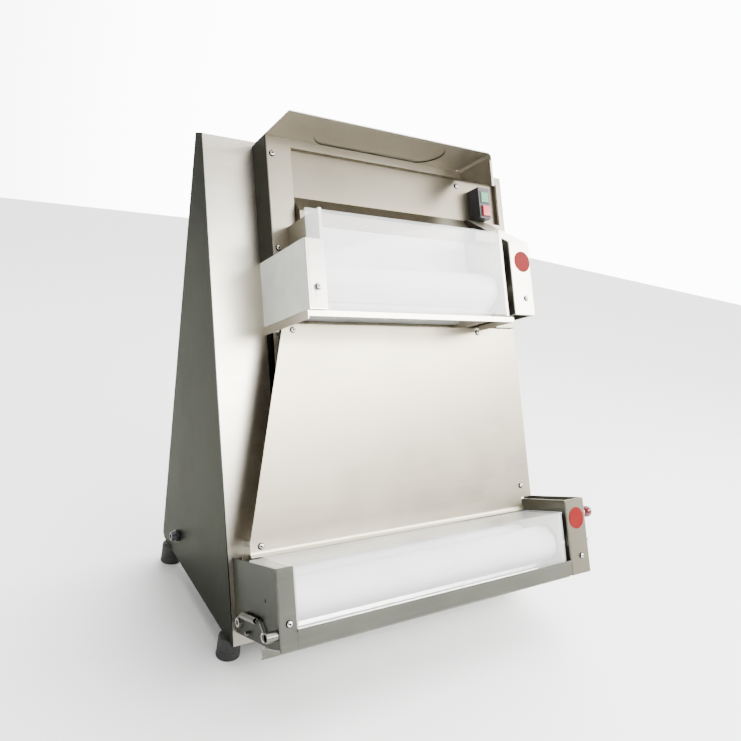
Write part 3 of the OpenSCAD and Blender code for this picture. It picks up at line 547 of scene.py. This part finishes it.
def faded_disc(name, base):
    """A plain disc whose colour has faded a little"""
    material, tree, shader = new_material(name)
    fade = object_noise(tree, (1, 1, 1), 55.0, 5.0, 0.65)
    link(tree, tinted(tree, fade, scaled(base, 0.82), tuple(c * 0.95 + 0.004 for c in base)),
         shader.inputs["Base Color"])
    link(tree, remap(tree, fade, 0.40, 0.58), shader.inputs["Roughness"])
    shader.inputs["Specular IOR Level"].default_value = 0.08
    bump(tree, shader, fade, 0.04, 0.0003)
    return material


def finish_named(name):
    """Each finish is made once, when a piece first asks for it"""
    if name in bpy.data.materials:
        return bpy.data.materials[name]
    tones = colours()
    lean = (-math.asin(OUT.z), 0, 0)
    make = {
        "panel": lambda n: brushed_steel(n, tones.panel, 0.30, turn=lean),
        "chute": lambda n: brushed_steel(n, tones.chute, 0.34, turn=lean),
        "fascia": lambda n: brushed_steel(n, tones.fascia, 0.32, turn=lean),
        "recess": lambda n: brushed_steel(n, tones.recess, 0.34, turn=lean),
        "canopy": lambda n: brushed_steel(n, tones.canopy, 0.36, turn=lean),
        # The side steels are painted shade: a dark base colour and a dimmed glancing reflection for faces turned
        # away from the light.
        "shaded_side_panels": lambda n: brushed_steel(n, tones.shaded_side_panels, 0.33, grain=UPRIGHT, edge=0.55),
        "side": lambda n: brushed_steel(n, tones.side, 0.36, grain=UPRIGHT, edge=0.75),
        "flange": lambda n: brushed_steel(n, tones.flange, 0.32, turn=lean),
        "cheek_film": lambda n: moulded(n, tones.film, 0.46, grain=400.0, relief=0.05),
        "bright": lambda n: polished_steel(n, tones.bright),
        "machined": lambda n: oiled_metal(n, tones.machined),
        # Painted shade: near-black oiled metal for the creases, skirts and sockets that stand in shade.
        "painted_shade": lambda n: oiled_metal(n, tones.painted_shade, 0.42),
        "brass": lambda n: oiled_metal(n, tones.brass, 0.30),
        "roller": lambda n: roller_plastic(n, tones.roller),
        "guide": lambda n: moulded(n, tones.roller, 0.42, grain=500.0, relief=0.04),
        "clear": clear_sheet,
        "rubber": lambda n: moulded(n, tones.rubber, 0.62, grain=1400.0, relief=0.2),
        "plastic": lambda n: moulded(n, tones.plastic, 0.36),
        "start": lambda n: moulded(n, tones.start, 0.3, relief=0.03, coat=0.3),
        "stop": lambda n: moulded(n, tones.stop, 0.3, relief=0.03, coat=0.3),
        "disc": lambda n: faded_disc(n, tones.disc),
        "knob": lambda n: moulded(n, tones.knob, 0.16, grain=120.0, relief=0.01, coat=0.25),
        "motor": lambda n: moulded(n, tones.motor, 0.45, grain=260.0, relief=0.25),
    }
    return make[name](name)


def repaint(name, *nodes):
    """Gives CAD nodes whose shape is right their finish"""
    material = finish_named(name)
    for node in nodes:
        mesh = NODES[node].data
        for i in range(len(mesh.materials)):
            mesh.materials[i] = material


# ---- one operator for each group of pieces ----


class SHEETER_OT_studio(bpy.types.Operator):
    """Make the camera, the pale floor and the soft lights"""

    bl_idname = "sheeter.studio"
    bl_label = "Studio"

    camera_place = (-0.68805, -0.88086, 0.6909)
    camera_yaw, camera_pitch, camera_roll = 34.96, -14.51, 8.82
    focal_length, film_width = 33.468, 36
    nearest = 0.05
    floor_size = 16
    # Name, place, target, watts, width and height.
    lights = (
        ("front_band", (1.15, -2.1, 1.85), (0, 0, 0.42), 215, 2.8, 0.85),
        ("fill", (-2.2, -1.6, 1.1), (0, 0, 0.35), 10, 1.4, 1.4),
        ("overhead", (0.3, 0.2, 2.6), (0, 0, 0.3), 90, 2.4, 2.4),
    )
    # The sky's bright side, its least and greatest strength, and where one passes into the other.
    sky_side = (0.87, 0.5, 0)
    sky_dim, sky_bright = 0.6, 13.0
    sky_from, sky_to = 0.28, 0.76

    def execute(self, context):
        self.camera(context)
        self.floor(context)
        for light in self.lights:
            self.light(context, *light)
        self.sky(context)
        return {"FINISHED"}

    def camera(self, context):
        yaw, pitch, roll = (
            math.radians(angle) for angle in (self.camera_yaw, self.camera_pitch, self.camera_roll))
        ahead = Vector((
            math.sin(yaw) * math.cos(pitch), math.cos(yaw) * math.cos(pitch), math.sin(pitch)))
        level = Vector((math.cos(yaw), -math.sin(yaw), 0))
        above = level.cross(ahead)
        right = math.cos(roll) * level + math.sin(roll) * above
        up = -math.sin(roll) * level + math.cos(roll) * above
        lens = bpy.data.cameras.new("camera")
        lens.sensor_width = self.film_width
        lens.lens = self.focal_length
        lens.clip_start = self.nearest
        camera = bpy.data.objects.new("camera", lens)
        turn = Matrix((right, up, -ahead)).transposed().to_4x4()
        camera.matrix_world = Matrix.Translation(self.camera_place) @ turn
        context.scene.collection.objects.link(camera)
        context.scene.camera = camera

    def floor(self, context):
        deselect_all()
        bpy.ops.mesh.primitive_plane_add(size=self.floor_size, location=(0, 0, 0))
        floor = context.object
        floor.name = "floor"
        material, tree, shader = new_material("floor")
        soft = object_noise(tree, (1, 1, 1), 1.4, 2.0)
        base = colours().floor
        link(tree, tinted(tree, soft, scaled(base, 0.985), base), shader.inputs["Base Color"])
        shader.inputs["Roughness"].default_value = 0.7
        shader.inputs["Specular IOR Level"].default_value = 0.2
        dress(floor, material)

    def light(self, context, name, position, target, power, width, height):
        lamp = bpy.data.lights.new(name, "AREA")
        lamp.shape = "RECTANGLE"
        lamp.size, lamp.size_y, lamp.energy = width, height, power
        piece = bpy.data.objects.new(name, lamp)
        aim = Vector(position) - Vector(target)
        piece.matrix_world = Matrix.Translation(position) @ frame_on(aim)
        piece.visible_camera = False
        context.scene.collection.objects.link(piece)

    def sky(self, context):
        """Bright behind and to the right, dim in front and to the left, for the steel to reflect"""
        world = bpy.data.worlds.new("studio")
        world.use_nodes = True
        tree = world.node_tree
        direction = tree.nodes.new("ShaderNodeTexCoord")
        dot = tree.nodes.new("ShaderNodeVectorMath")
        dot.operation = "DOT_PRODUCT"
        dot.inputs[1].default_value = self.sky_side
        link(tree, direction.outputs["Generated"], dot.inputs[0])
        level = remap(
            tree, dot.outputs["Value"], self.sky_dim, self.sky_bright, self.sky_from, self.sky_to)
        link(tree, level, tree.nodes["Background"].inputs["Strength"])
        tree.nodes["Background"].inputs["Color"].default_value = (1, 1, 1, 1)
        context.scene.world = world


class SHEETER_OT_body(bpy.types.Operator):
    """Round the folds of the body's sheets and finish them"""

    bl_idname = "sheeter.body"
    bl_label = "Body"

    def execute(self, context):
        folded("left_side_panel", finish_named("shaded_side_panels"))
        folded("right_side_panel", finish_named("shaded_side_panels"))
        folded("body_shell", finish_named("panel"))
        folded("back_cover", finish_named("side"))
        repaint("flange", "base_plate")
        repaint("motor", "gear_motor")
        repaint("machined", "shaft_support")
        repaint("plastic", "cable_gland")
        return {"FINISHED"}


class SHEETER_OT_head(bpy.types.Operator):
    """Round the folds of the head, its recess and its canopy"""

    bl_idname = "sheeter.head"
    bl_label = "Head"

    def execute(self, context):
        folds = [(front_fold("head_casing"), sizes().bend_radius)]
        # Painted shade: the head's left-facing faces take the dark side steel, and the infeed plate under the
        # canopy the dark recess steel.
        folded("head_casing", finish_named("fascia"), folds, ends=finish_named("side"))
        folded("infeed_back_plate", finish_named("recess"))
        self.canopy()
        return {"FINISHED"}

    def canopy(self):
        """The pressed oblong gets a rounded rim, whose crease is painted dark as shade"""
        margin, rim_radius = 5 * MM, 0.7 * MM
        flat = 0.93  # the cosine past which a face belongs to the sheet and not to the crease
        points = [v.co for v in NODES["canopy"].data.vertices]
        x_low, x_high = span(points, ACROSS)
        out_low, out_high = span(points, OUT)

        def inside(p):
            within_x = x_low + margin < p.x < x_high - margin
            return within_x and out_low + margin < out_of(p) < out_high - margin

        under = max(down_of(p) for p in points if inside(p))

        def rim(a, b):
            return all(inside(p) and down_of(p) > under - NEAR for p in (a, b))

        def crease(centre, normal):
            return inside(centre) and abs(normal.dot(DOWN)) < flat

        piece = folded("canopy", finish_named("canopy"), [(rim, rim_radius)])
        # Painted shadow: the crease round the oblong takes the near-black finish.
        second_finish(piece, finish_named("painted_shade"), crease)


class SHEETER_OT_switch(bpy.types.Operator):
    """Soften the switch housing and its two buttons"""

    bl_idname = "sheeter.switch"
    bl_label = "Switch"

    def execute(self, context):
        folded("switch_body", finish_named("plastic"), width=1.6 * MM)
        folded("start_button", finish_named("start"), width=1.0 * MM, body="start_button")
        folded("stop_button", finish_named("stop"), width=1.0 * MM, body="stop_button")
        return {"FINISHED"}


class SHEETER_OT_chute(bpy.types.Operator):
    """Finish the chute and its standoffs"""

    bl_idname = "sheeter.chute"
    bl_label = "Chute"

    def execute(self, context):
        folded("chute", finish_named("chute"))
        repaint("bright", "chute_standoffs")
        return {"FINISHED"}


class SHEETER_OT_units(bpy.types.Operator):
    """Round the folds of the sheets around the two roller pairs"""

    bl_idname = "sheeter.units"
    bl_label = "Roller Units"

    def execute(self, context):
        bend = sizes().bend_radius
        panel, flange, side = (finish_named(name) for name in ("panel", "flange", "side"))
        # Painted shade: the left-facing faces take a darker steel as their ends finish, except the upper left
        # cheek's matte film, and the lower end box takes the dark recess steel.
        for node, material, ends in (
            ("upper_left_cheek", panel, finish_named("cheek_film")),
            ("upper_end_box", panel, flange),
            ("lower_left_plate", flange, side),
            ("lower_end_box", finish_named("recess"), flange),
        ):
            test = front_fold(node, right=node.endswith("end_box"))
            folded(node, material, [(test, bend)], ends=ends)
        folded("upper_exit_rim", panel)
        for node in ("lower_front_lip", "lower_tray"):
            folded(node, flange)
        for node in ("upper_guard", "lower_guard"):
            folded(node, finish_named("clear"))
        repaint("panel", "upper_inner_plate", "upper_right_plate", "lower_inner_plate",
                "lower_right_plate")
        repaint("guide", "upper_feed_guide", "upper_scrapers")
        repaint("bright", "lower_scrapers")
        repaint("flange", "scraper_spring")
        return {"FINISHED"}


class SHEETER_OT_bracket(bpy.types.Operator):
    """Fold the small bracket that carries the guard's inner corner"""

    bl_idname = "sheeter.bracket"
    bl_label = "Guard Bracket"

    length, depth, thick = 52 * MM, 15 * MM, 1.5 * MM
    corner, lip, broken_edge = 4 * MM, 9 * MM, 0.3 * MM
    # Its right end's gap to the bearing plate, and its middle behind and below that plate's corner.
    gap, behind, below = 0.2 * MM, 3 * MM, 14 * MM

    def execute(self, context):
        plate = [v.co for v in NODES["upper_right_plate"].data.vertices]
        left = span(plate, ACROSS)[0]
        out, top = span(plate, OUT)[1], span(plate, DOWN)[0]
        deselect_all()
        bpy.ops.mesh.primitive_cube_add(size=1, location=(0, 0, 0))
        piece = context.object
        piece.name = "guard_bracket"
        bpy.ops.object.mode_set(mode="EDIT")
        bpy.ops.transform.resize(value=(self.length, self.depth, self.thick), center_override=(0, 0, 0))
        select_edges(piece, lambda a, b: a.x < 0 and b.x < 0 and abs(a.y - b.y) < NEAR)
        bpy.ops.mesh.bevel(offset=self.corner, segments=4, affect="EDGES")
        select_faces(piece, lambda c, n: n.y > 0.9)
        bpy.ops.mesh.extrude_region_move(TRANSFORM_OT_translate={"value": (0, self.thick, 0)})
        select_faces(piece, lambda c, n: n.z < -0.9 and c.y > self.depth / 2)
        bpy.ops.mesh.extrude_region_move(TRANSFORM_OT_translate={"value": (0, 0, -self.lip)})
        bpy.ops.object.mode_set(mode="OBJECT")
        middle = (ACROSS * (left - self.length / 2 - self.gap) + OUT * (out - self.behind)
                  + DOWN * (top + self.below))
        turn = Matrix((ACROSS, -DOWN, OUT)).transposed().to_4x4()
        place(piece, Matrix.Translation(middle) @ turn)
        apply_modifier(piece, "BEVEL", width=self.broken_edge, segments=2, limit_method="ANGLE")
        # Painted shade: the bracket stands in shadow and takes the dark recess steel.
        dress(piece, finish_named("recess"))
        shade(piece, 35)
        keep_flats(piece)
        fit(piece, "frame", "panel_steel")
        return {"FINISHED"}


class SHEETER_OT_rollers(bpy.types.Operator):
    """Finish the rollers, gears, belts and bushes"""

    bl_idname = "sheeter.rollers"
    bl_label = "Rollers and Drive"

    def execute(self, context):
        for pair in ("upper", "lower"):
            repaint("roller", pair + "_rear_roller", pair + "_front_roller")
            repaint("machined", pair + "_rear_gear", pair + "_front_gear")
            repaint("brass", pair + "_slide_blocks")
            repaint("rubber", pair + "_belt")
        repaint("brass", "roller_bushes")
        repaint("machined", "drive_shaft", "drive_pulleys")
        return {"FINISHED"}


class SHEETER_OT_screws(bpy.types.Operator):
    """Turn one button-head screw with a hexagon socket and set it in every screw's place"""

    bl_idname = "sheeter.screws"
    bl_label = "Screws"

    head_radius = 5.0 * MM
    head_height = 3.0 * MM
    socket_depth = 1.5 * MM
    # Each screw was driven home at its own turn, in degrees.
    first_turn, next_turn = 17, 41

    def execute(self, context):
        screw = self.model_screw()
        for node, direction in (
            ("front_screws", OUT),
            ("guard_screws", OUT),
            ("back_cover_screws", BACK),
        ):
            copies = []
            for i, points in enumerate(solid_points(node)):
                side = frame_on(direction)
                axes = [side.col[k].to_3d() for k in range(3)]
                middle = [sum(span(points, axes[k])) / 2 for k in range(2)]
                top = span(points, axes[2])[1]
                at = axes[0] * middle[0] + axes[1] * middle[1] + axes[2] * (top - self.head_height)
                spin = Matrix.Rotation(math.radians(self.first_turn + self.next_turn * i), 4, "Z")
                copies.append(copy_at(screw, f"{node}_{i}", Matrix.Translation(at) @ side @ spin))
            piece = join("button_" + node, copies)
            shade(piece, 35)
            fit(piece, "frame", "bright_steel", node)
        discard(screw)
        return {"FINISHED"}

    def model_screw(self):
        """A shank, a skirt and a button head with its hexagon socket; the skirt and the socket are painted dark as
        shade
        """
        r, h = self.head_radius, self.head_height
        rim = r * 0.40
        screw = turned("screw", [
            (2.4 * MM, -5.5 * MM), (2.5 * MM, -5.2 * MM), (2.5 * MM, 0.0), (r * 0.99, 0.0),
            (r, 0.12 * MM), (r, 0.55 * MM), (r * 0.97, 0.7 * MM), (r * 0.86, 0.7 * MM),
            (r * 0.84, 1.1 * MM), (r * 0.80, 1.55 * MM), (r * 0.72, 2.1 * MM), (r * 0.60, 2.55 * MM),
            (r * 0.48, 2.85 * MM), (rim, h)], sides=24)
        bpy.ops.object.mode_set(mode="EDIT")
        select_faces(screw, lambda c, n: c.z > h - NEAR and n.z > 0.9)
        bpy.ops.mesh.inset(thickness=(rim - sizes().socket_width / 2) * 0.9, depth=0)
        bpy.ops.mesh.extrude_region_move(
            TRANSFORM_OT_translate={"value": (0, 0, -self.socket_depth)})
        bpy.ops.transform.resize(
            value=(0.82, 0.82, 1), center_override=(0, 0, h - self.socket_depth))
        bpy.ops.object.mode_set(mode="OBJECT")
        dress(screw, finish_named("bright"))

        # Painted shade: the shank, the skirt round the head and the inside of the socket take the near-black
        # finish.
        def dark(centre, normal):
            in_socket = centre.z < h - 0.1 * MM and math.hypot(centre.x, centre.y) < rim
            return centre.z < 1.9 * MM or in_socket

        second_finish(screw, finish_named("painted_shade"), dark)
        return screw


class SHEETER_OT_feet(bpy.types.Operator):
    """Turn one rubber foot with a lip, grooves, a stud and a nut, and set it at each corner"""

    bl_idname = "sheeter.feet"
    bl_label = "Feet"

    def execute(self, context):
        groups = solid_points("rubber_feet")
        low, high = span(groups[0], ACROSS)
        r = (high - low) / 2
        rubber = turned("foot", [
            (r * 0.55, 1.2 * MM), (r * 0.62, 0.0), (r * 0.93, 0.0), (r * 0.985, 0.4 * MM),
            (r, 1.4 * MM), (r, 4.0 * MM), (r * 0.975, 4.8 * MM), (r * 0.965, 13 * MM),
            (r * 0.94, 13.5 * MM), (r * 0.94, 14.5 * MM), (r * 0.96, 15 * MM),
            (r * 0.93, 30.5 * MM), (r * 0.905, 33 * MM), (r * 0.84, 34.0 * MM),
            (r * 0.80, 34.2 * MM)])
        washer = turned("foot_washer", [
            (r * 0.66, 34.2 * MM), (r * 0.66, 35.0 * MM), (r * 0.6, 35.0 * MM)])
        stud = turned("foot_stud", [
            (2.8 * MM, 34.5 * MM), (3.0 * MM, 35.0 * MM), (3.0 * MM, 42.4 * MM),
            (2.5 * MM, 43.0 * MM)], sides=24)
        nut = turned("foot_nut", [
            (5.0 * MM, 37.0 * MM), (5.7 * MM, 37.5 * MM), (5.7 * MM, 41.4 * MM),
            (5.0 * MM, 42.0 * MM)], sides=6)
        rubber_parts, steel_parts = [], []
        for i, points in enumerate(groups):
            x, y = (sum(span(points, axis)) / 2 for axis in (ACROSS, BACK))
            at = Matrix.Translation((x, y, 0))
            rubber_parts.append(copy_at(rubber, f"foot_{i}", at))
            steel_parts += [copy_at(part, f"{part.name}_{i}", at) for part in (washer, stud, nut)]
        feet = join("feet", rubber_parts)
        studs = join("foot_studs", steel_parts)
        dress(feet, finish_named("rubber"))
        dress(studs, finish_named("bright"))
        for piece in (feet, studs):
            shade(piece, 30)
        fit(feet, "frame", "black_rubber", "rubber_feet")
        fit(studs, "frame", "bright_steel")
        for part in (rubber, washer, stud, nut):
            discard(part)
        return {"FINISHED"}


class SHEETER_OT_adjusters(bpy.types.Operator):
    """Finish the levers, index pins and marker discs, and turn their ball knobs"""

    bl_idname = "sheeter.adjusters"
    bl_label = "Adjusters"

    def execute(self, context):
        for unit in ("upper", "lower"):
            folded(unit + "_lever", finish_named("bright"), body=unit + "_adjuster")
            repaint("bright", unit + "_index_pin")
            self.ball(unit)
        folded("marker_discs", finish_named("disc"), width=0.15 * MM)
        return {"FINISHED"}

    def ball(self, unit):
        """A ball with a ferrule and a flat where it meets the lever"""
        low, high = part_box(unit + "_ball_knob")
        r = (high.z - low.z) / 2
        centre = Vector((high.x - r, (low.y + high.y) / 2, (low.z + high.z) / 2))
        neck = 5.0 * MM
        steps = 22
        foot = low.x - centre.x
        profile = [(neck * 0.9, foot), (neck, foot + 0.3 * MM), (neck, foot + 1.0 * MM)]
        first = math.asin(neck / r)
        for i in range(steps):
            a = math.pi - first - (math.pi - first) * i / steps
            profile.append((r * math.sin(a), r * math.cos(a)))
        profile.append((r * 0.03, r * 0.9996))
        knob = turned("ball_" + unit, profile)
        place(knob, Matrix.Translation(centre) @ frame_on(ACROSS))
        dress(knob, finish_named("knob"))
        shade(knob, 40)
        fit(knob, unit + "_pin", "red_knob", unit + "_ball_knob")


class SHEETER_OT_louvres(bpy.types.Operator):
    """Press a hood over every slot of the back cover"""

    bl_idname = "sheeter.louvres"
    bl_label = "Louvres"

    def execute(self, context):
        slots = self.slot_places()
        hood = self.model_hood()
        hoods = [copy_at(hood, f"hood_{i}", Matrix.Translation(at)) for i, at in enumerate(slots)]
        discard(hood)
        piece = join("louvre_hoods", hoods)
        dress(piece, finish_named("side"))
        shade(piece, 30)
        fit(piece, "frame", "side_steel")
        return {"FINISHED"}

    def slot_places(self):
        """The top middle of each slot, on the cover's outer face"""
        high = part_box("back_cover")[1]
        mesh = bmesh.new()
        mesh.from_mesh(NODES["back_cover"].data)
        tops = set()
        for face in mesh.faces:
            xs = [v.co.x for v in face.verts]
            z = face.calc_center_median().z
            as_wide_as_a_slot = 80 * MM < max(xs) - min(xs) < 120 * MM
            if face.normal.z < -0.9 and as_wide_as_a_slot and z < high.z - 50 * MM:
                tops.add((round((min(xs) + max(xs)) / 2, 4), round(z, 4)))
        mesh.free()
        return [(x, high.y, z) for x, z in sorted(tops)]

    def model_hood(self):
        """A hood with sloping ends"""
        deselect_all()
        bpy.ops.mesh.primitive_cube_add(size=1, location=(0, 0, 0))
        hood = bpy.context.object
        hood.name = "hood"
        width, height, proud = 108 * MM, 8 * MM, sizes().louvre_proud
        lowered, slope, rounding = 2 * MM, 3.5 * MM, 0.8 * MM
        bpy.ops.object.mode_set(mode="EDIT")
        bpy.ops.transform.resize(value=(width, proud, height), center_override=(0, 0, 0))
        bpy.ops.transform.translate(value=(0, proud / 2, -lowered))
        select_faces(hood, lambda c, n: n.y > 0.9)
        bpy.ops.transform.resize(value=(0.93, 1, 1), center_override=(0, proud, 0))
        select_edges(hood, lambda a, b: min(a.y, b.y) > proud - NEAR and min(a.z, b.z) > 0)
        bpy.ops.transform.translate(value=(0, 0, -slope))
        select_edges(hood, lambda a, b: min(a.y, b.y) > proud - NEAR)
        bpy.ops.mesh.bevel(offset=rounding, segments=3, affect="EDGES")
        bpy.ops.object.mode_set(mode="OBJECT")
        return hood


OPERATORS = (
    SHEETER_OT_studio,
    SHEETER_OT_body,
    SHEETER_OT_head,
    SHEETER_OT_switch,
    SHEETER_OT_chute,
    SHEETER_OT_units,
    SHEETER_OT_bracket,
    SHEETER_OT_rollers,
    SHEETER_OT_screws,
    SHEETER_OT_feet,
    SHEETER_OT_adjusters,
    SHEETER_OT_louvres,
)


class SHEETER_PT_panel(bpy.types.Panel):
    """Lists the sheeter's groups of pieces in the sidebar"""

    bl_idname = "SHEETER_PT_panel"
    bl_label = "Dough Sheeter"
    bl_space_type = "VIEW_3D"
    bl_region_type = "UI"
    bl_category = "Dough Sheeter"

    def draw(self, context):
        for group in (sizes(), colours()):
            for name in group.__annotations__:
                self.layout.prop(group, name)
        for operator in OPERATORS:
            self.layout.operator(operator.bl_idname)


CLASSES = (SheeterSizes, SheeterColours, *OPERATORS, SHEETER_PT_panel)


def register():
    for cls in CLASSES:
        bpy.utils.register_class(cls)
    bpy.types.Scene.sheeter_sizes = PointerProperty(type=SheeterSizes)
    bpy.types.Scene.sheeter_colours = PointerProperty(type=SheeterColours)


def unregister():
    del bpy.types.Scene.sheeter_colours
    del bpy.types.Scene.sheeter_sizes
    for cls in reversed(CLASSES):
        bpy.utils.unregister_class(cls)


def main():
    register()
    for operator in OPERATORS:
        group, name = operator.bl_idname.split(".")
        getattr(getattr(bpy.ops, group), name)()


if __name__ == "__main__":
    main()
